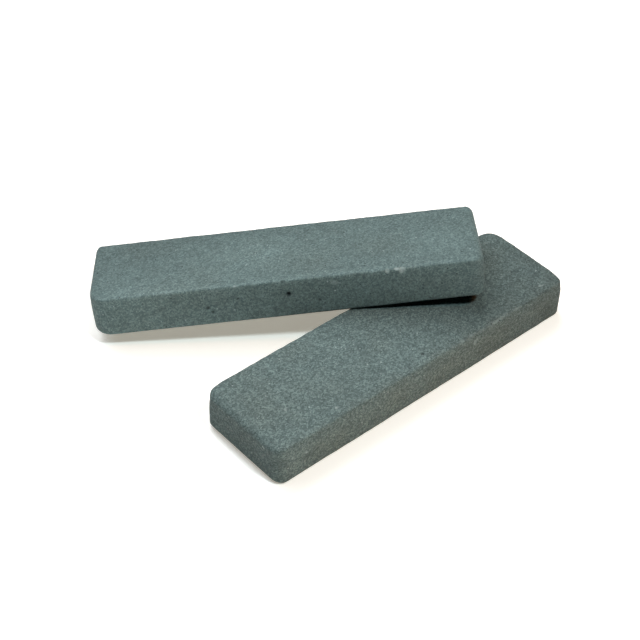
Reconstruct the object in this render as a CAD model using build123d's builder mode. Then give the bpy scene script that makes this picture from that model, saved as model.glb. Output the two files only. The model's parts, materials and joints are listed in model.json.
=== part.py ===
"""A pair of pocket sharpening whetstones for carving knives and gouges.

Each stone is one solid bar of bonded abrasive. The lower stone lies flat. The upper stone leans across
it: its underside bears on the lower stone's back top edge, and the back corner of its left end stands
on the ground. All sizes are in millimetres. +X runs along the lower stone, +Y points to the side that
the upper stone leans towards, +Z points up, and the origin is the middle of the lower stone's underside.
"""

import os
from math import asin, atan2, cos, degrees, hypot, radians, sin

from build123d import *

# Lower stone, lying flat
lower_length = 105.0
lower_width = 29.5
lower_thickness = 12.4
lower_corner_radius = 3.3

# Upper stone, leaning: a little longer and a little thinner
upper_length = 106.5
upper_width = 29.5
upper_thickness = 11.6
upper_corner_radius = 4.0

# Wear, the same on both stones
edge_radius = 0.8  # rounding along the top and bottom edges
end_radius = 2.5  # heavier rounding over the two ends

# How the upper stone lies on the lower one
turn_angle = 38.5  # its length is turned this far clockwise from the lower stone's, seen from above
shift_along = -7.0  # its middle is this far along +X from the lower stone's middle
reach_behind = 21.0  # its middle is this far down its own underside from the line where it bears
stone_clearance = 0.1  # between its underside and the edge that it bears on

# The underside slopes down from the bearing edge to its back left corner, the foot. The bearing edge is
# an arc about a line that is edge_radius inside the lower stone's back and top faces.
turn = radians(turn_angle)
foot_run = upper_length / 2 - upper_corner_radius
foot_side = upper_width / 2 - upper_corner_radius
foot_distance = reach_behind + foot_run * sin(turn) + foot_side * cos(turn) + upper_corner_radius
slope_run = foot_distance - edge_radius
slope_lift = edge_radius + stone_clearance + edge_radius
slope_drop = lower_thickness - edge_radius - edge_radius
lean = asin(slope_drop / hypot(slope_run, slope_lift)) + atan2(slope_lift, slope_run)

# The two underside planes, each with its origin at the middle of the stone's underside
lower_seat = Plane.XY
bearing_y = lower_width / 2 - edge_radius + (edge_radius + stone_clearance) * sin(lean)
bearing_z = lower_thickness - edge_radius + (edge_radius + stone_clearance) * cos(lean)
upper_seat = Plane(
    origin=(
        shift_along,
        bearing_y + reach_behind * cos(lean),
        bearing_z - reach_behind * sin(lean),
    ),
    x_dir=(cos(turn), -sin(turn) * cos(lean), sin(turn) * sin(lean)),
    z_dir=(0, sin(lean), cos(lean)),
)


def worn_bar(seat, length, width, thickness, corner_radius):
    """One stone standing on its seat plane: rounded in plan, eased all round, and worn over its ends."""
    rise = Axis(seat.origin, seat.z_dir)
    side = Plane(
        origin=seat.origin + seat.z_dir * (thickness / 2),
        x_dir=seat.x_dir,
        z_dir=seat.y_dir,
    )
    with BuildSketch(seat) as plan:
        RectangleRounded(length, width, corner_radius)
    extrude(plan.sketch, amount=thickness)
    broad_faces = faces().sort_by(rise)
    fillet(broad_faces[0].edges() + broad_faces[-1].edges(), edge_radius)
    with BuildSketch(side) as profile:
        RectangleRounded(length, thickness, end_radius)
    extrude(profile.sketch, amount=width / 2, both=True, mode=Mode.INTERSECT)


with BuildPart() as lower_stone:
    worn_bar(lower_seat, lower_length, lower_width, lower_thickness, lower_corner_radius)
lower_stone.part.label = "lower_stone"

with BuildPart() as upper_stone:
    worn_bar(upper_seat, upper_length, upper_width, upper_thickness, upper_corner_radius)
upper_stone.part.label = "upper_stone"

os.makedirs("parts", exist_ok=True)
export_step(lower_stone.part, "parts/lower_stone.step")
export_step(upper_stone.part, "parts/upper_stone.step")
print(f"The upper stone leans at {degrees(lean):.2f} degrees.")
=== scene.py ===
"""Looks for a leaning pair of pocket sharpening whetstones.

Two bars of vitrified silicon carbide grit: a coarser one lies flat and a finer one leans across its
back edge. Each bar's surface is one closed shell of numpy arrays, worked out in the bar's own axes in
millimetres and then laid on the seat that its CAD node gives. The frame is in metres, +Z up.
"""

import json
import logging
import math
from dataclasses import dataclass
from enum import Enum
from itertools import product

import bpy
import numpy as np
from mathutils import Matrix, Vector

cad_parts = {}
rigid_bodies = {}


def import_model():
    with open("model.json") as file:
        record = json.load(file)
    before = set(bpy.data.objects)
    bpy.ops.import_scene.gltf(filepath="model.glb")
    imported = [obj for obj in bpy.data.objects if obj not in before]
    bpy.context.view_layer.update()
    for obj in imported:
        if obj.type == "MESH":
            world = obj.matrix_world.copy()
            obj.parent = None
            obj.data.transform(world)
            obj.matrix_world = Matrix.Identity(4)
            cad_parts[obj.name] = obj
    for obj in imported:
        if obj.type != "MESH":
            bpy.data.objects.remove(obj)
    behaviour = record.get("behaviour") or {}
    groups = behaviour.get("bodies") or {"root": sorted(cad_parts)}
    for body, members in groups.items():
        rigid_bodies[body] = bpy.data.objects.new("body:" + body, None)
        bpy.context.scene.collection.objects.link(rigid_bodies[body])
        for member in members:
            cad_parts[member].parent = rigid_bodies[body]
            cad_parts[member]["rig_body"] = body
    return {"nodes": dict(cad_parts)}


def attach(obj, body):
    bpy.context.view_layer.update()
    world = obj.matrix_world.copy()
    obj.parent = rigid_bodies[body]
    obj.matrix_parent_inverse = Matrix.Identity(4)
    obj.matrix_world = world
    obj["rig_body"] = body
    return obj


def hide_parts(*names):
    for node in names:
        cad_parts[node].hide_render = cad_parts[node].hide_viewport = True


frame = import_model()

log = logging.getLogger("whetstones")

MM = 0.001  # metres in a millimetre

# Sizes of the unevenness on the stones, in millimetres
WARP = 22.0  # hollows and swellings of the broad faces
SMEAR = 17.0  # patches with a warmer cast
STRETCH = 9.0  # lengths of edge that are worn more or less
MOTTLE = 3.2  # light and dark mottling
LUMP = 2.6  # lumps broken out of an edge
PORE_CELL = 1.5  # cells that may each hold one open pore
CRUMB = 0.9  # crumbs along an edge
BUMP_HEIGHT = 0.1  # how far the finest grit stands out

Array = np.ndarray
Point = tuple[float, float, float]
Tree = bpy.types.NodeTree
Node = bpy.types.Node
Socket = bpy.types.NodeSocket


def linear(hex_colour: str) -> tuple[float, float, float, float]:
    """The linear RGBA of an sRGB hex colour.

    Args:
        hex_colour: Six hex digits after a hash, such as "#6e7f7e".

    Returns:
        Red, green and blue from 0 to 1 in linear light, and an alpha of 1.
    """
    channels = [int(hex_colour[i : i + 2], 16) / 255 for i in (1, 3, 5)]
    red, green, blue = (
        c / 12.92 if c <= 0.04045 else ((c + 0.055) / 1.055) ** 2.4 for c in channels
    )
    return (red, green, blue, 1.0)


def smooth_noise(points: Array, cell: float, seed: int) -> Array:
    """Value noise: a random number at each corner of a cubic lattice, eased between the corners.

    Args:
        points: Places, one row of three each, in the unit of cell.
        cell: The lattice's spacing, which is the size of the noise's lumps.
        seed: Chooses the random numbers.

    Returns:
        One number from -1 to 1 for each point.
    """
    scaled = points / cell
    low = np.floor(scaled).astype(int)
    part = scaled - low
    ease = part * part * (3 - 2 * part)
    low -= low.min(axis=0)
    lattice = np.random.default_rng(seed).uniform(-1, 1, low.max(axis=0) + 2)
    total = np.zeros(len(points))
    for corner in product((0, 1), repeat=3):
        share = np.prod(np.where(corner, ease, 1 - ease), axis=1)
        total += share * lattice[tuple((low + corner).T)]
    return total


def add(tree: Tree, kind: str, links: dict | None = None, **settings: object) -> Node:
    """Adds one node with its settings and its inputs.

    Args:
        tree: The node tree that the node joins.
        kind: The node's Blender type name.
        links: For each input, by name or index, the value that it holds or the socket that feeds it.
        **settings: The node's own properties.

    Returns:
        The new node.
    """
    node = tree.nodes.new(kind)
    for name, value in settings.items():
        setattr(node, name, value)
    for name, value in (links or {}).items():
        if isinstance(value, Socket):
            tree.links.new(value, node.inputs[name])
        else:
            node.inputs[name].default_value = value
    return node


class Face(Enum):
    """A broad face of a stone, with the upright part of its outward normal."""

    UNDERSIDE = -1.0
    TOP = 1.0


@dataclass(frozen=True)
class Dent:
    """A hollow in the surface: a chip out of an edge, a pore, or a corner rubbed round.

    Attributes:
        at: Its middle, in the stone's own axes, in millimetres.
        radii: How far it reaches along each axis, in millimetres.
        depth: How deep its middle is, in millimetres.
        pale: How pale its surface is, from 0 to 1, or below 0 for a dark pore painted with the shade inside
            it.
        softness: How gently it starts at its rim: 1 for a crisp chip, 2 for soft wear.
        ragged: How uneven it is, from 0 to 1.
    """

    at: Point
    radii: Point
    depth: float
    pale: float = 0.0
    softness: float = 1.0
    ragged: float = 0.8

    def reach(self, points: Array, crumbs: Array) -> Array:
        """One less the squared distance in radii, roughened by noise and raised to the softness.

        Args:
            points: Points in the stone's own axes, in millimetres.
            crumbs: Noise from -1 to 1 for each point.

        Returns:
            From 0 at the rim to 1 in the middle.
        """
        away = (points - np.array(self.at)) / np.array(self.radii)
        bowl = 1 - (away**2).sum(axis=1)
        return np.clip(bowl + self.ragged * crumbs * (bowl > 0), 0, 1) ** self.softness


@dataclass(frozen=True)
class LightAndTonePatch:
    """A soft patch that makes the colour paler, darker or warmer: painted light and shade on some faces, a
    plain paler or darker patch elsewhere.

    Attributes:
        at: Its middle, in the stone's own axes, in millimetres.
        radii: How far it spreads along each axis, in millimetres.
        gain: The share of brightness that it adds, below 0 to darken.
        warmth: How strong its warm cast is, from 0 to 1.
    """

    at: Point
    radii: Point
    gain: float
    warmth: float = 0.0

    def reach(self, points: Array) -> Array:
        """A bell curve of the distance in radii: 1 in the middle, fading outwards."""
        away = (points - np.array(self.at)) / np.array(self.radii)
        return np.exp(-(away**2).sum(axis=1))


@dataclass(frozen=True)
class Seat:
    """Where a stone lies: its own axes and the middle of its underside, read from its CAD node.

    Attributes:
        origin: The middle of the underside, in metres.
        axes: A matrix whose columns are the stone's length, width and height directions.
        size: Length, width and thickness, in millimetres.
    """

    origin: Array
    axes: Array
    size: Array

    @classmethod
    def of_node(cls, node: str) -> "Seat":
        """Reads a stone's seat from its CAD mesh.

        The broad faces and then the long sides hold more area than anything else, so the upward normal
        that most area shares is the stone's height, and of the normals square to it, the one that most
        area shares is its width.

        Args:
            node: The CAD node's name.

        Returns:
            The seat.
        """
        mesh = frame["nodes"][node].data
        normals = np.zeros(len(mesh.polygons) * 3)
        areas = np.zeros(len(mesh.polygons))
        corners = np.zeros(len(mesh.vertices) * 3)
        mesh.polygons.foreach_get("normal", normals)
        mesh.polygons.foreach_get("area", areas)
        mesh.vertices.foreach_get("co", corners)
        normals = normals.reshape(-1, 3)
        shared = (normals @ normals.T > 0.99999) @ areas
        height = normals[np.argmax(np.where(normals[:, 2] > 0.5, shared, 0))]
        square = (np.abs(normals @ height) < 0.01) & (normals[:, 1] > 0)
        width = normals[np.argmax(np.where(square, shared, 0))]
        width = width - height * (width @ height)
        width /= np.linalg.norm(width)
        axes = np.column_stack([np.cross(width, height), width, height])
        own = corners.reshape(-1, 3) @ axes
        low, high = own.min(axis=0), own.max(axis=0)
        middle = (low + high) / 2
        middle[2] = low[2]
        return cls(axes @ middle, axes, (high - low) / MM)

    def place(self, points: Array) -> Array:
        """Points in the stone's own axes, in millimetres, as points in the frame, in metres."""
        return points * MM @ self.axes.T + self.origin


@dataclass(frozen=True)
class Shell:
    """A closed skin of four-sided faces.

    Attributes:
        points: One row of three for each point, in millimetres.
        normals: The outward direction at each point.
        faces: Four point numbers for each face, turning left as seen from outside.
    """

    points: Array
    normals: Array
    faces: Array


@dataclass(frozen=True)
class Rounding:
    """How the edges and corners of a stone are rounded, all in millimetres.

    Attributes:
        corners: The plan radii of the front left, front right, back right and back left corners.
        left_end: The radii of the left end's top and bottom edges.
        right_end: The radii of the right end's top and bottom edges.
        sides: The radii of the long sides' top and bottom edges.

    The rims stay convex while a corner's radius less the side's is over 1.5 times the end's radius
    less the side's.
    """

    corners: tuple[float, float, float, float]
    left_end: tuple[float, float]
    right_end: tuple[float, float]
    sides: tuple[float, float]


@dataclass
class Bar:
    """The unworn form of a stone: a bar rounded in plan and along its edges.

    Attributes:
        size: Length, width and thickness, in millimetres.
        rounding: The radii of its corners and edges.
        step: The spacing of the points on the surface, in millimetres.
    """

    size: Array
    rounding: Rounding
    step: float

    def outline(self) -> tuple[Array, Array, int, int]:
        """The plan outline, walked leftwards from the middle of the front left corner's arc.

        Each of the four sides is half an arc, a straight and half an arc, with its points evenly spaced
        along its own length. The turn of the normal is the arc length run past the straight's ends,
        over that corner's radius.

        Returns:
            The outline's points, its outward normals, and how many steps a long and a short side have.
        """
        radii = self.rounding.corners
        counts = [round(reach / self.step) for reach in self.size[:2]]
        points, normals = [], []
        for side, forward in enumerate(((1.0, 0.0), (0.0, 1.0), (-1.0, 0.0), (0.0, -1.0))):
            ahead = np.array(forward)
            outward = np.array((ahead[1], -ahead[0]))
            run, out = self.size[side % 2], self.size[1 - side % 2]
            first, last = radii[side], radii[(side + 1) % 4]
            straight = run - first - last
            length = straight + (first + last) * math.pi / 4
            count = counts[side % 2]
            past = np.arange(count) * length / count - first * math.pi / 4
            flat = np.clip(past, 0, straight)
            radius = np.where(past < straight / 2, first, last)
            turn = (past - flat) / radius
            reach = flat - run / 2 + first + radius * np.sin(turn)
            away = out / 2 - radius + radius * np.cos(turn)
            points.append(reach[:, None] * ahead + away[:, None] * outward)
            normals.append(np.sin(turn)[:, None] * ahead + np.cos(turn)[:, None] * outward)
        return np.concatenate(points), np.concatenate(normals), counts[0], counts[1]

    def profile(self) -> tuple[Array, Array]:
        """The upright section of the wall, from the top face's rim down to the underside's.

        Returns:
            For each row, the tilt of its normal above the level, in radians, and its share of the
            straight run between the two roundings, from 0 at the top to 1 at the bottom.
        """
        arc_steps = round(max(self.rounding.left_end + self.rounding.right_end) * math.pi / 2 / self.step)
        wall_steps = round((self.size[2] - sum(self.rounding.sides)) / self.step)
        arc = np.linspace(math.pi / 2, 0, arc_steps + 1)
        tilt = np.concatenate([arc, np.zeros(wall_steps - 1), -arc[::-1]])
        share = np.clip((np.arange(len(tilt)) - arc_steps) / wall_steps, 0, 1)
        return tilt, share

    def shell(self) -> Shell:
        """The bar as one closed skin: a wall round the outline, closed by a top and an underside.

        The wall is the profile carried round the outline. At a point whose outline normal has the
        length component c, an edge's radius is the end's times c squared plus the side's times one
        less c squared. A row tilted by t stands inside the outline by the radius times one less cos t,
        and its height is the arc's centre plus the radius times sin t. Each cap is a Coons patch: the
        blend of its two long edges plus the blend of its two short ones, less the blend of its corners.

        Returns:
            The skin.
        """
        rim, out, long_steps, short_steps = self.outline()
        tilt, share = self.profile()
        shape = (len(tilt), len(rim))
        blend = out[:, 0] ** 2
        ends = np.where(out[:, :1] < 0, self.rounding.left_end, self.rounding.right_end)
        top, bottom = (ends * blend[:, None] + np.array(self.rounding.sides) * (1 - blend[:, None])).T
        radius = np.where(tilt[:, None] > 0, top, bottom)
        inset = radius * (1 - np.cos(tilt)[:, None])
        centre = (self.size[2] - top) * (1 - share[:, None]) + bottom * share[:, None]
        wall, lean = np.empty((*shape, 3)), np.empty((*shape, 3))
        wall[..., :2] = rim - inset[..., None] * out
        wall[..., 2] = centre + radius * np.sin(tilt)[:, None]
        lean[..., :2] = np.cos(tilt)[:, None, None] * out
        lean[..., 2] = np.sin(tilt)[:, None]
        index = np.arange(wall.size // 3).reshape(shape)
        right = np.roll(index, -1, axis=1)
        faces = [np.stack([index[1:], right[1:], right[:-1], index[:-1]], axis=-1).reshape(-1, 4)]
        points, normals = [wall.reshape(-1, 3)], [lean.reshape(-1, 3)]
        used = index.size
        for face, row in ((Face.TOP, 0), (Face.UNDERSIDE, -1)):
            inner, cap = self.cap(wall[row], index[row], used, long_steps, short_steps)
            points.append(inner)
            normals.append(np.tile((0.0, 0.0, face.value), (len(inner), 1)))
            faces.append(cap if face is Face.TOP else cap[:, ::-1])
            used += len(inner)
        return Shell(np.concatenate(points), np.concatenate(normals), np.concatenate(faces))

    @staticmethod
    def cap(
        ring: Array, ring_index: Array, first: int, long_steps: int, short_steps: int
    ) -> tuple[Array, Array]:
        """A grid that fills a rim ring.

        Args:
            ring: The rim's points, starting at the front left corner and turning left.
            ring_index: The rim's point numbers.
            first: The number that the first inner point gets.
            long_steps: Steps along a long side.
            short_steps: Steps along a short side.

        Returns:
            The inner points, and the faces of the whole cap as seen from above.
        """
        around = np.append(np.arange(len(ring)), 0)
        ends = np.cumsum([0, long_steps, short_steps, long_steps, short_steps])
        front, right, back, left = (around[a : b + 1] for a, b in zip(ends[:-1], ends[1:]))
        back, left = back[::-1], left[::-1]
        u = (np.arange(long_steps + 1) / long_steps)[None, :, None]
        v = (np.arange(short_steps + 1) / short_steps)[:, None, None]
        between_long = (1 - v) * ring[front][None] + v * ring[back][None]
        between_short = (1 - u) * ring[left][:, None] + u * ring[right][:, None]
        corners = (1 - v) * ((1 - u) * ring[front[0]] + u * ring[front[-1]]) + v * (
            (1 - u) * ring[back[0]] + u * ring[back[-1]]
        )
        grid = between_long + between_short - corners
        number = np.empty((short_steps + 1, long_steps + 1), int)
        number[0], number[-1] = ring_index[front], ring_index[back]
        number[:, 0], number[:, -1] = ring_index[left], ring_index[right]
        inner = (short_steps - 1) * (long_steps - 1)
        number[1:-1, 1:-1] = first + np.arange(inner).reshape(short_steps - 1, long_steps - 1)
        faces = np.stack([number[:-1, :-1], number[:-1, 1:], number[1:, 1:], number[1:, :-1]], axis=-1)
        return grid[1:-1, 1:-1].reshape(-1, 3), faces.reshape(-1, 4)


@dataclass(frozen=True)
class Wear:
    """How use and handling have changed a stone's surface. Lengths are in millimetres.

    Attributes:
        edge_loss: About how much the most crumbled stretches of edge have lost.
        edge_reach: How far from an edge the crumbling and the paleness reach.
        edge_pale: How pale the rubbed edges are, from 0 to 1.
        waviness: How far the faces stray from flat.
        relief: How far the grit stands in and out.
        grain: The size of the grit's lumps that the shell carries.
        seed: Chooses all the random numbers.
    """

    edge_loss: float
    edge_reach: float
    edge_pale: float
    waviness: float
    relief: float
    grain: float
    seed: int


@dataclass(frozen=True)
class Grit:
    """Vitrified silicon carbide: grey-green crystals fired in a glassy clay bond, pressed in a mould.

    The eye sees a matt, speckled teal grey, with dark pores between the grains, a few bright crystal
    faces, and a paler, dustier grey wherever the grains are crushed along the edges. The pores' darkness
    is painted shade, and the crystal faces' brightness painted glint.

    Attributes:
        name: The material's name.
        body: The colour of most grains.
        shade: The colour of the darker grains and the bond between them.
        bright: The colour of the palest grains.
        pore: The colour in the pores.
        crushed: The colour of crushed grit along edges and in chips.
        tint: What a warm cast multiplies the colour by, where it shows: old oil and clay in random patches,
            and painted warm light where the shell's warmth is set.
        grain: The size of the visible grains, in millimetres: coarser than the grit itself, because
            pore: The colour in the pores: painted shade, standing in for the shade inside each hole.
        contrast: How far the grains differ, from 0 to 1.
        pore_share: The share of the pore cells that hold an open pore.
        glint: The colour of a painted glint, where a crystal face catches the light.
        glint_share: The share of grains that glint.
    """

    name: str
    body: str
    shade: str
    bright: str
    pore: str
    crushed: str
    tint: str
    grain: float
    contrast: float
    pore_share: float
    glint: str
    glint_share: float

    def material(self) -> bpy.types.Material:
        """Builds the node material.

        Returns:
            The material, which reads Object coordinates and the shell's pale, tone and warmth.
        """
        made = bpy.data.materials.new(self.name)
        made.use_nodes = True
        tree = made.node_tree
        tree.nodes.clear()
        place = add(tree, "ShaderNodeTexCoord").outputs["Object"]
        scaled = add(tree, "ShaderNodeVectorMath", {0: place, "Scale": 1 / MM}, operation="SCALE")
        in_mm = scaled.outputs["Vector"]
        pale = add(tree, "ShaderNodeAttribute", attribute_name="pale").outputs["Fac"]

        chance, fine, speckle = self.grains(tree, in_mm)
        colour = self.speckled(tree, chance, speckle)
        colour = self.stained_and_painted_light(tree, in_mm, colour)
        colour = self.dusted(tree, pale, fine, colour)
        pits = self.pits(tree, in_mm, pale)
        # painted shade: the pore colour fills the pores
        pitted = add(
            tree,
            "ShaderNodeMix",
            {"Factor": pits, 6: colour, 7: linear(self.pore)},
            data_type="RGBA",
        )
        surface = self.surface(tree, pitted.outputs[2], speckle, pits, chance)
        add(tree, "ShaderNodeOutputMaterial", {"Surface": surface.outputs["BSDF"]})
        return made

    def grains(self, tree: Tree, in_mm: Socket) -> tuple[Node, Socket, Socket]:
        """The grains of grit: cells, each with its own random numbers, broken up by a finer noise.

        Args:
            tree: The material's node tree.
            in_mm: Places in the piece, in millimetres.

        Returns:
            The cells' random numbers, the finer noise, and the speckle that the two make together.
        """
        cells = add(
            tree,
            "ShaderNodeTexVoronoi",
            {"Vector": in_mm, "Scale": 1 / self.grain, "Randomness": 1.0},
            feature="F1",
        )
        chance = add(tree, "ShaderNodeSeparateColor", {"Color": cells.outputs["Color"]})
        fine = add(
            tree,
            "ShaderNodeTexNoise",
            {"Vector": in_mm, "Scale": 1.6 / self.grain, "Detail": 2.0, "Roughness": 0.6},
        )
        speckle = add(
            tree,
            "ShaderNodeMix",
            {"Factor": 0.55, 2: chance.outputs["Red"], 3: fine.outputs["Fac"]},
            data_type="FLOAT",
        )
        return chance, fine.outputs["Fac"], speckle.outputs[0]

    def speckled(self, tree: Tree, chance: Node, speckle: Socket) -> Socket:
        """The grains' colours, with a few painted glints where crystal faces catch the light.

        Args:
            tree: The material's node tree.
            chance: The cells' random numbers.
            speckle: The speckle, from 0 to 1.

        Returns:
            The colour.
        """
        ramp = add(tree, "ShaderNodeValToRGB", {"Fac": speckle})
        stops = ramp.color_ramp
        stops.elements[0].position = 0.18
        stops.elements[0].color = linear(self.shade)
        stops.elements[1].position = 0.84
        stops.elements[1].color = linear(self.bright)
        stops.elements.new(0.5).color = linear(self.body)
        calm = add(
            tree,
            "ShaderNodeMix",
            {"Factor": self.contrast, 6: linear(self.body), 7: ramp.outputs["Color"]},
            data_type="RGBA",
        )
        # painted glints: a few grains take a bright colour that stands in for the highlight of a crystal
        # face
        glint = add(
            tree,
            "ShaderNodeMapRange",
            {
                "Value": chance.outputs["Blue"],
                "From Min": 1 - self.glint_share,
                "From Max": 1.0,
                "To Min": 0.0,
                "To Max": 0.8,
            },
        )
        lively = add(
            tree,
            "ShaderNodeMix",
            {"Factor": glint.outputs["Result"], 6: calm.outputs[2], 7: linear(self.glint)},
            data_type="RGBA",
        )
        return lively.outputs[2]

    def stained_and_painted_light(self, tree: Tree, in_mm: Socket, colour: Socket) -> Socket:
        """Light and dark mottling, the shell's soft patches with their painted light and shade, and a warm
        cast: old oil in random patches and painted warm light.

        Args:
            tree: The material's node tree.
            in_mm: Places in the piece, in millimetres.
            colour: The colour so far.

        Returns:
            The mottled colour, with painted light and shade and the warm cast.
        """
        mottle = add(
            tree,
            "ShaderNodeTexNoise",
            {"Vector": in_mm, "Scale": 1 / MOTTLE, "Detail": 5.0, "Roughness": 0.62},
        )
        swing = add(
            tree,
            "ShaderNodeMapRange",
            {
                "Value": mottle.outputs["Fac"],
                "From Min": 0.25,
                "From Max": 0.75,
                "To Min": 0.86,
                "To Max": 1.14,
            },
        )
        # the shell's tone: painted light and shade on some faces, plain paler and darker patches elsewhere
        tone = add(tree, "ShaderNodeAttribute", attribute_name="tone")
        gain = add(
            tree,
            "ShaderNodeMath",
            {0: swing.outputs["Result"], 1: tone.outputs["Fac"]},
            operation="MULTIPLY",
        )
        toned = add(
            tree,
            "ShaderNodeVectorMath",
            {0: colour, "Scale": gain.outputs["Value"]},
            operation="SCALE",
        )
        drift = add(tree, "ShaderNodeTexNoise", {"Vector": in_mm, "Scale": 1 / SMEAR, "Detail": 3.0})
        smear = add(
            tree,
            "ShaderNodeMapRange",
            {
                "Value": drift.outputs["Fac"],
                "From Min": 0.42,
                "From Max": 0.7,
                "To Min": 0.0,
                "To Max": 0.3,
            },
        )
        # the shell's warmth: painted warm light on the coarse stone's long front side
        patch = add(tree, "ShaderNodeAttribute", attribute_name="warmth")
        warmth = add(
            tree,
            "ShaderNodeMath",
            {0: smear.outputs["Result"], 1: patch.outputs["Fac"]},
            operation="ADD",
            use_clamp=True,
        )
        warm = add(
            tree,
            "ShaderNodeMix",
            {"Factor": warmth.outputs["Value"], 6: toned.outputs["Vector"], 7: linear(self.tint)},
            data_type="RGBA",
            blend_type="MULTIPLY",
        )
        return warm.outputs[2]

    def dusted(self, tree: Tree, pale: Socket, fine: Socket, colour: Socket) -> Socket:
        """Crushed grit along the edges and in the chips, with a ragged border.

        Args:
            tree: The material's node tree.
            pale: The shell's paleness.
            fine: The finer noise of the grains.
            colour: The colour so far.

        Returns:
            The dusted colour.
        """
        ragged = add(tree, "ShaderNodeMath", {0: pale, 1: fine}, operation="MULTIPLY")
        share = add(
            tree,
            "ShaderNodeMapRange",
            {
                "Value": ragged.outputs["Value"],
                "From Min": 0.05,
                "From Max": 0.6,
                "To Min": 0.0,
                "To Max": 1.0,
            },
        )
        crushed = add(
            tree,
            "ShaderNodeMix",
            {"Factor": share.outputs["Result"], 6: colour, 7: linear(self.crushed)},
            data_type="RGBA",
        )
        return crushed.outputs[2]

    def pits(self, tree: Tree, in_mm: Socket, pale: Socket) -> Socket:
        """Open pores, painted with the shade inside them: round spots of different sizes in some of the
        cells, and the shell's own.

        Args:
            tree: The material's node tree.
            in_mm: Places in the piece, in millimetres.
            pale: The shell's paleness, which is below 0 in a pore.

        Returns:
            How much of a pore each place is, from 0 to 1.
        """
        holes = add(
            tree,
            "ShaderNodeTexVoronoi",
            {"Vector": in_mm, "Scale": 1 / PORE_CELL, "Randomness": 1.0},
            feature="F1",
        )
        which = add(tree, "ShaderNodeSeparateColor", {"Color": holes.outputs["Color"]})
        opened = add(
            tree,
            "ShaderNodeMath",
            {0: which.outputs["Green"], 1: self.pore_share},
            operation="LESS_THAN",
        )
        radius = add(
            tree,
            "ShaderNodeMapRange",
            {"Value": which.outputs["Blue"], "To Min": 0.05, "To Max": 0.2},
        )
        rim = add(
            tree,
            "ShaderNodeMath",
            {0: radius.outputs["Result"], 1: holes.outputs["Distance"]},
            operation="SUBTRACT",
        )
        inside = add(
            tree,
            "ShaderNodeMapRange",
            {"Value": rim.outputs["Value"], "From Min": 0.0, "From Max": 0.1, "To Min": 0.0, "To Max": 0.8},
        )
        hollow = add(
            tree,
            "ShaderNodeMath",
            {0: inside.outputs["Result"], 1: opened.outputs["Value"]},
            operation="MULTIPLY",
        )
        carved = add(
            tree,
            "ShaderNodeMath",
            {0: pale, 1: -1.0},
            operation="MULTIPLY",
            use_clamp=True,
        )
        deepest = add(
            tree,
            "ShaderNodeMath",
            {0: hollow.outputs["Value"], 1: carved.outputs["Value"]},
            operation="MAXIMUM",
        )
        return deepest.outputs["Value"]

    def surface(self, tree: Tree, colour: Socket, speckle: Socket, pits: Socket, chance: Node) -> Node:
        """The matt shader: grains stand out, pores sink in, and a few grains are smoother.

        Args:
            tree: The material's node tree.
            colour: The finished colour.
            speckle: The speckle, whose high grains stand out.
            pits: How much of a pore each place is.
            chance: The cells' random numbers.

        Returns:
            The shader.
        """
        height = add(tree, "ShaderNodeMath", {0: speckle, 1: pits}, operation="SUBTRACT")
        bump = add(
            tree,
            "ShaderNodeBump",
            {"Height": height.outputs["Value"], "Strength": 0.4, "Distance": BUMP_HEIGHT * MM},
        )
        rough = add(
            tree,
            "ShaderNodeMapRange",
            {
                "Value": chance.outputs["Green"],
                "From Min": 0.0,
                "From Max": 0.12,
                "To Min": 0.42,
                "To Max": 0.88,
            },
        )
        return add(
            tree,
            "ShaderNodeBsdfPrincipled",
            {
                "Base Color": colour,
                "Roughness": rough.outputs["Result"],
                "Normal": bump.outputs["Normal"],
                "IOR": 1.5,
                "Specular IOR Level": 0.35,
            },
        )


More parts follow.
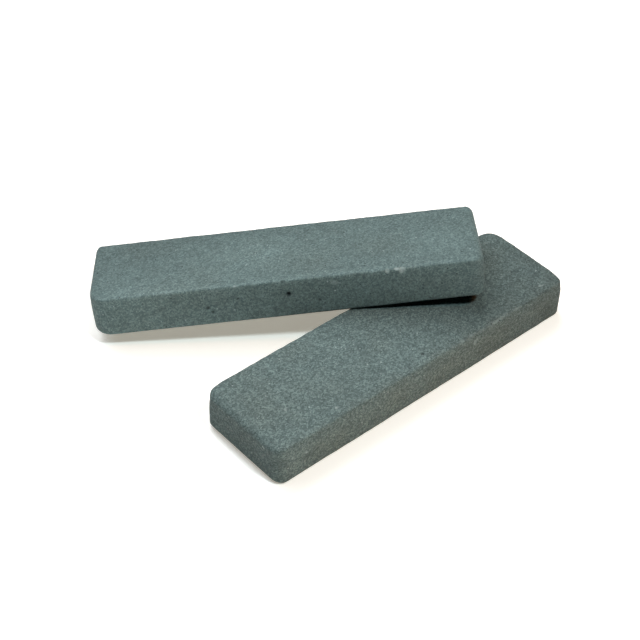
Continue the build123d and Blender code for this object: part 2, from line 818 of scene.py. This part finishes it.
@dataclass
class Whetstone:
    """One sharpening stone.

    Attributes:
        name: The piece's name.
        node: The CAD node that it stands for.
        slot: The record's material slot; not used.
        grit: What it is made of.
        wear: How it is worn.
        rounding: The radii of its corners and edges.
        dents: Chips, pores and rubbed corners, in its own axes.
        light_and_tone_patches: Soft pale, dark and warm patches, in its own axes, some of them painted light
            and shade.
        step: The spacing of the points on its surface, in millimetres.
    """

    name: str
    node: str
    slot: str
    grit: Grit
    wear: Wear
    rounding: Rounding
    dents: tuple[Dent, ...]
    light_and_tone_patches: tuple[LightAndTonePatch, ...]
    step: float = 0.34

    @staticmethod
    def edge_distance(points: Array, size: Array) -> Array:
        """How far each point is from the nearest edge of a plain square-cornered bar.

        Of the point's three distances to the bar's sides, the edge's distance is the root of the sum
        of the squares of the two smallest.

        Args:
            points: Points in the stone's own axes, in millimetres.
            size: Length, width and thickness, in millimetres.

        Returns:
            The distances, in millimetres.
        """
        depth = np.column_stack(
            [size[:2] / 2 - np.abs(points[:, :2]), np.minimum(points[:, 2], size[2] - points[:, 2])]
        )
        return np.linalg.norm(np.sort(depth, axis=1)[:, :2], axis=1)

    def worn(self, shell: Shell, size: Array) -> tuple[Array, dict[str, Array]]:
        """Wears the unworn shell.

        Every point moves inwards along its normal, by the crumbling of the nearest edge (a bell curve
        of the distance to it, times noise, and less for the lower edges), by the waviness of the faces,
        by the grit's relief and by each dent. Paleness adds up from the rubbed edges and the chips, and
        the dark pores take it below 0 as painted shade. Tone and warmth add up from the
        light_and_tone_patches, some of which paint light and shade.

        Args:
            shell: The unworn shell.
            size: Length, width and thickness, in millimetres.

        Returns:
            The worn points, and the pale, tone and warmth attributes.
        """
        points, wear = shell.points, self.wear
        stretch = smooth_noise(points, STRETCH, wear.seed)
        lumps = smooth_noise(points, LUMP, wear.seed + 1)
        crumbs = smooth_noise(points, CRUMB, wear.seed + 2)
        near_edge = np.exp(-((self.edge_distance(points, size) / wear.edge_reach) ** 2))
        near_edge *= 0.3 + 0.7 * points[:, 2] / size[2]
        crumbling = np.clip(0.45 + 0.4 * stretch + 0.35 * lumps + 0.2 * crumbs, 0, None)
        inward = wear.edge_loss * near_edge * crumbling
        inward += wear.waviness * (0.5 + 0.5 * smooth_noise(points, WARP, wear.seed + 3))
        inward += wear.relief * (0.5 + 0.5 * smooth_noise(points, wear.grain, wear.seed + 4))
        rubbed = np.clip(0.5 + 0.9 * lumps + 0.5 * crumbs, 0, 1)
        pale = wear.edge_pale * near_edge * rubbed
        for dent in self.dents:
            reach = dent.reach(points, crumbs)
            inward += dent.depth * reach
            pale += dent.pale * np.sqrt(reach)
        tone, warmth = np.ones(len(points)), np.zeros(len(points))
        # tone and warmth from the patches: painted light and shade on some faces, plain tone elsewhere
        for light_and_tone_patch in self.light_and_tone_patches:
            reach = light_and_tone_patch.reach(points)
            tone += light_and_tone_patch.gain * reach
            warmth += light_and_tone_patch.warmth * reach
        moved = points - inward[:, None] * shell.normals
        return moved, {"pale": np.clip(pale, -1, 1), "tone": tone, "warmth": warmth}

    def build(self) -> bpy.types.Object:
        """Builds the stone, dresses it and lets it stand for its CAD node.

        Returns:
            The finished piece.
        """
        seat = Seat.of_node(self.node)
        shell = Bar(seat.size, self.rounding, self.step).shell()
        points, marks = self.worn(shell, seat.size)
        mesh = bpy.data.meshes.new(self.name)
        mesh.from_pydata(seat.place(points), [], shell.faces)
        for label, values in marks.items():
            mesh.attributes.new(label, "FLOAT", "POINT").data.foreach_set("value", values.astype(np.float32))
        mesh.shade_smooth()
        mesh.update()
        piece = bpy.data.objects.new(self.name, mesh)
        bpy.context.scene.collection.objects.link(piece)
        mesh.materials.append(self.grit.material())
        body = frame["nodes"][self.node]["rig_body"]
        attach(piece, body)
        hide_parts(self.node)
        return piece


@dataclass
class SoftLight:
    """A rectangular studio light.

    Attributes:
        name: Its name.
        azimuth: Where it stands round the stones, in degrees: 0 is in front, at -Y, and 90 at +X.
        elevation: Its height above the horizon, in degrees.
        width: The length of its sides, in metres.
        power: Its power, in watts.
        colour: Its colour.
        distance: How far it is from the stones, in metres.
    """

    name: str
    azimuth: float
    elevation: float
    width: float
    power: float
    colour: str
    distance: float = 1.2

    def build(self, aim: Vector) -> bpy.types.Object:
        """Makes the light, pointed at the stones.

        Args:
            aim: The point that it faces.

        Returns:
            The light.
        """
        data = bpy.data.lights.new(self.name, "AREA")
        data.shape = "SQUARE"
        data.size = self.width
        data.energy = self.power
        data.color = linear(self.colour)[:3]
        light = bpy.data.objects.new(self.name, data)
        bpy.context.scene.collection.objects.link(light)
        back = direction(self.azimuth, self.elevation)
        light.location = aim + back * self.distance
        light.rotation_euler = (-back).to_track_quat("-Z", "Y").to_euler()
        return light


def direction(azimuth: float, elevation: float) -> Vector:
    """The unit vector from the stones towards a viewer or a light.

    Args:
        azimuth: Degrees round the stones: 0 is in front, at -Y, and 90 at +X.
        elevation: Degrees above the horizon.

    Returns:
        The unit vector.
    """
    turn, rise = math.radians(azimuth), math.radians(elevation)
    return Vector((math.sin(turn) * math.cos(rise), -math.cos(turn) * math.cos(rise), math.sin(rise)))


@dataclass
class Studio:
    """The pale floor, the soft lights and the camera.

    Attributes:
        aim: The point that the camera and the lights face, in metres.
        azimuth: The camera's place round the stones, in degrees.
        elevation: The camera's height, in degrees.
        distance: The camera's distance, in metres.
        roll: How far the camera is turned about its own axis, in degrees.
        lens: The focal length on a 36 mm wide sensor, in millimetres.
        floor_half: Half the floor's width, in metres.
        floor_drop: How far the floor is under the frame's ground, in millimetres, so that the upper
            stone's foot corner stays clear of it.
        floor_colour: The floor's colour.
        floor_glow_colour: The colour of the lamps under the floor.
        floor_glow: How brightly the floor is lit from below.
        lights: The studio lights.
    """

    aim: Point = (-0.00745, 0.02107, 0.006)
    azimuth: float = -42.43
    elevation: float = 42.17
    distance: float = 0.4299
    roll: float = 2.05
    lens: float = 88.4
    floor_half: float = 3.0
    floor_drop: float = 0.06
    floor_colour: str = "#f8f8f6"
    floor_glow_colour: str = "#fff4e2"
    floor_glow: float = 0.32
    lights: tuple[SoftLight, ...] = (
        SoftLight("key_light", azimuth=4, elevation=61, width=0.14, power=8.4, colour="#ecfcff"),
        SoftLight("back_left", azimuth=208, elevation=58, width=1.1, power=7.4, colour="#eef5ff"),
        SoftLight("back_right", azimuth=160, elevation=53, width=0.8, power=9.0, colour="#ffffff"),
        SoftLight("warm_fill", azimuth=34, elevation=56, width=0.2, power=2.6, colour="#ffb080"),
    )

    def floor(self) -> bpy.types.Object:
        """The floor: a level sheet of white acrylic just under the stones, faintly lit from below."""
        half = self.floor_half
        corners = np.array([(-half, -half), (half, -half), (half, half), (-half, half)])
        level = np.column_stack([corners, np.full(4, -self.floor_drop * MM)])
        mesh = bpy.data.meshes.new("floor")
        mesh.from_pydata(level, [], [(0, 1, 2, 3)])
        sheet = bpy.data.materials.new("white_acrylic_sheet")
        sheet.use_nodes = True
        surface = sheet.node_tree.nodes["Principled BSDF"]
        surface.inputs["Base Color"].default_value = linear(self.floor_colour)
        surface.inputs["Roughness"].default_value = 0.9
        surface.inputs["Specular IOR Level"].default_value = 0.0
        surface.inputs["Emission Color"].default_value = linear(self.floor_glow_colour)
        surface.inputs["Emission Strength"].default_value = self.floor_glow
        mesh.materials.append(sheet)
        floor = bpy.data.objects.new("floor", mesh)
        bpy.context.scene.collection.objects.link(floor)
        return floor

    def surround(self) -> None:
        """A dark surround, so that all the light comes from the lamps and the floor."""
        world = bpy.data.worlds.new("dark_surround")
        world.use_nodes = True
        world.node_tree.nodes["Background"].inputs["Strength"].default_value = 0.0
        bpy.context.scene.world = world

    def camera(self) -> bpy.types.Object:
        """The camera, at the viewing angle and turned by its roll."""
        data = bpy.data.cameras.new("camera")
        data.sensor_width = 36.0
        data.lens = self.lens
        data.clip_start = 0.01
        camera = bpy.data.objects.new("camera", data)
        bpy.context.scene.collection.objects.link(camera)
        back = direction(self.azimuth, self.elevation)
        level = (-back).to_track_quat("-Z", "Y").to_matrix().to_4x4()
        turned = level @ Matrix.Rotation(math.radians(self.roll), 4, "Z")
        camera.matrix_world = Matrix.Translation(Vector(self.aim) + back * self.distance) @ turned
        bpy.context.scene.camera = camera
        return camera

    def build(self) -> None:
        """Builds the floor, the lights and the camera."""
        self.floor()
        self.surround()
        for light in self.lights:
            light.build(Vector(self.aim))
        self.camera()
        bpy.context.scene.view_settings.view_transform = "Standard"


COARSE_GRIT = Grit(
    name="coarse_silicon_carbide",
    body="#566563",
    shade="#344242",
    bright="#7e928e",
    pore="#1a2020",
    crushed="#88938f",
    tint="#fbe8dc",
    grain=0.38,
    contrast=0.8,
    pore_share=0.6,
    glint="#a1afad",
    glint_share=0.005,
)

FINE_GRIT = Grit(
    name="fine_silicon_carbide",
    body="#576866",
    shade="#394749",
    bright="#798d8b",
    pore="#161b1d",
    crushed="#98a5a2",
    tint="#fdf2ea",
    grain=0.4,
    contrast=0.7,
    pore_share=0.62,
    glint="#97a6a5",
    glint_share=0.003,
)

LOWER_DENTS = (
    Dent((53.0, -15.0, 12.8), (6.5, 6.5, 5.5), 0.6, pale=0.05, softness=1.5, ragged=0.05),
    Dent((-52.0, 14.5, 12.4), (6.0, 6.0, 6.0), 0.3, pale=0.05, softness=2.0, ragged=0.05),
    Dent((20.0, -14.75, 12.4), (15.0, 1.2, 1.2), 0.2, pale=0.3),
    Dent((17.0, -14.75, 11.7), (1.8, 1.2, 1.3), 0.6, pale=0.1),
    Dent((16.4, -14.75, 9.3), (0.9, 0.9, 1.3), 0.1, pale=0.7),
    Dent((24.6, -14.75, 12.4), (1.5, 1.1, 1.0), 0.15, pale=0.4),
    Dent((33.0, -14.75, 12.4), (1.3, 1.1, 1.1), 0.4, pale=0.5),
    Dent((44.5, -12.0, 12.4), (1.2, 0.5, 0.5), 0.06, pale=0.6),
    Dent((-30.5, -11.5, 12.4), (0.5, 0.5, 0.5), 0.05, pale=1.0, ragged=0.3),
    Dent((-41.0, -4.0, 12.4), (0.45, 0.45, 0.5), 0.05, pale=1.0, ragged=0.3),
    Dent((-43.0, -14.75, 7.0), (0.5, 0.5, 0.5), 0.05, pale=1.0, ragged=0.3),
    Dent((-47.5, -14.75, 8.0), (0.5, 0.5, 0.5), 0.05, pale=1.0, ragged=0.3),
    # a dark pore, painted with the shade inside it
    Dent((0.0, -11.0, 12.4), (0.5, 0.5, 0.5), 0.2, pale=-0.8, ragged=0.3),
)

UPPER_DENTS = (
    Dent((-52.5, -14.0, 11.6), (6.0, 6.0, 6.0), 0.6, pale=0.05, softness=2.0, ragged=0.05),
    Dent((27.2, -14.75, 11.1), (0.6, 0.9, 0.9), 0.3, pale=0.9),
    Dent((29.6, -14.75, 11.4), (1.0, 0.9, 0.5), 0.22, pale=1.0),
    Dent((31.2, -14.75, 10.9), (0.9, 1.0, 1.1), 0.28, pale=1.0),
    Dent((12.8, -14.75, 9.2), (1.5, 0.5, 0.8), 0.06, pale=0.5),
    Dent((-13.7, -14.75, 11.4), (0.5, 0.6, 0.5), 0.1, pale=0.9, ragged=0.3),
    # dark pits, painted with the shade inside them
    Dent((0.4, -14.75, 7.1), (0.85, 0.9, 0.75), 0.9, pale=-1.0, ragged=0.4),
    Dent((-0.7, -14.75, 11.3), (0.9, 0.7, 0.5), 0.3, pale=-0.6, ragged=0.4),
    Dent((-13.2, -14.75, 7.4), (0.5, 0.6, 0.5), 0.3, pale=-0.8, ragged=0.4),
    Dent((-21.5, -14.75, 5.5), (0.6, 0.6, 0.5), 0.3, pale=-0.7, ragged=0.4),
    Dent((-20.4, -14.75, 4.0), (0.5, 0.6, 0.5), 0.3, pale=-0.7, ragged=0.4),
    Dent((8.5, -14.75, 4.3), (0.5, 0.6, 0.5), 0.3, pale=-0.7, ragged=0.4),
)

LOWER_PAINTED_LIGHT_AND_SHADE = (
    # painted shade: the right half darker, where the fine stone stands beside it and the light falls off
    LightAndTonePatch((60.0, -8.0, 4.0), (45.0, 32.0, 16.0), -0.4),
    # painted shade: the left end face darker, as the face turned away from the light
    LightAndTonePatch((-54.0, 0.0, 4.0), (3.0, 30.0, 8.0), -0.42),
    # painted warm light: the long front side paler and warmer, as lit by a warm light from the right
    LightAndTonePatch((0.0, -16.0, 5.0), (90.0, 2.5, 9.0), 0.13, warmth=0.9),
)

UPPER_TONE_AND_PAINTED_SHADE = (
    # paler patches on the top
    LightAndTonePatch((-10.0, -1.5, 11.6), (13.0, 8.0, 4.0), 0.18),
    LightAndTonePatch((-4.0, 1.5, 11.6), (4.0, 3.0, 4.0), 0.12),
    LightAndTonePatch((-40.0, -12.5, 11.6), (12.0, 4.0, 3.0), 0.22),
    LightAndTonePatch((43.0, -4.0, 11.6), (9.0, 7.0, 4.0), 0.12),
    # paler along the front top edge
    LightAndTonePatch((0.0, -14.75, 11.6), (60.0, 2.0, 1.2), 0.18),
    # darker towards the back left and along the back of the top
    LightAndTonePatch((-42.0, 8.0, 11.6), (18.0, 9.0, 4.0), -0.12),
    LightAndTonePatch((0.0, 14.0, 11.6), (60.0, 5.0, 4.0), -0.1),
    # painted shade: the front side darker low on the right, where it stands close over the coarse stone
    LightAndTonePatch((47.0, -16.0, 3.0), (22.0, 5.0, 7.0), -0.18),
    # paler over the left and middle of the front side
    LightAndTonePatch((-10.0, -16.0, 5.0), (60.0, 2.5, 9.0), 0.1),
    # painted shade: the front right corner darker, where it turns towards the light
    LightAndTonePatch((54.0, -13.0, 6.0), (4.0, 7.0, 8.0), -0.2),
)

WHETSTONES = (
    Whetstone(
        name="coarse_stone",
        node="lower_stone",
        slot="coarse_grit",
        grit=COARSE_GRIT,
        wear=Wear(
            edge_loss=0.35, edge_reach=1.2, edge_pale=0.25, waviness=0.12, relief=0.045, grain=0.7, seed=11
        ),
        rounding=Rounding((3.3, 3.4, 5.5, 3.1), left_end=(1.7, 2.1), right_end=(2.2, 1.2), sides=(0.7, 0.7)),
        dents=LOWER_DENTS,
        light_and_tone_patches=LOWER_PAINTED_LIGHT_AND_SHADE,
    ),
    Whetstone(
        name="fine_stone",
        node="upper_stone",
        slot="fine_grit",
        grit=FINE_GRIT,
        wear=Wear(
            edge_loss=0.22, edge_reach=0.9, edge_pale=0.22, waviness=0.1, relief=0.03, grain=0.6, seed=47
        ),
        rounding=Rounding((5.2, 3.3, 2.4, 1.9), left_end=(1.4, 1.4), right_end=(1.6, 0.6), sides=(0.6, 0.8)),
        dents=UPPER_DENTS,
        light_and_tone_patches=UPPER_TONE_AND_PAINTED_SHADE,
    ),
)


def main() -> None:
    """Builds the stones and the studio."""
    logging.basicConfig(level=logging.INFO, format="%(name)s: %(message)s")
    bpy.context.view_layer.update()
    for stone in WHETSTONES:
        piece = stone.build()
        log.info("%s: %d faces", piece.name, len(piece.data.polygons))
    Studio().build()


if __name__ == "__main__":
    main()
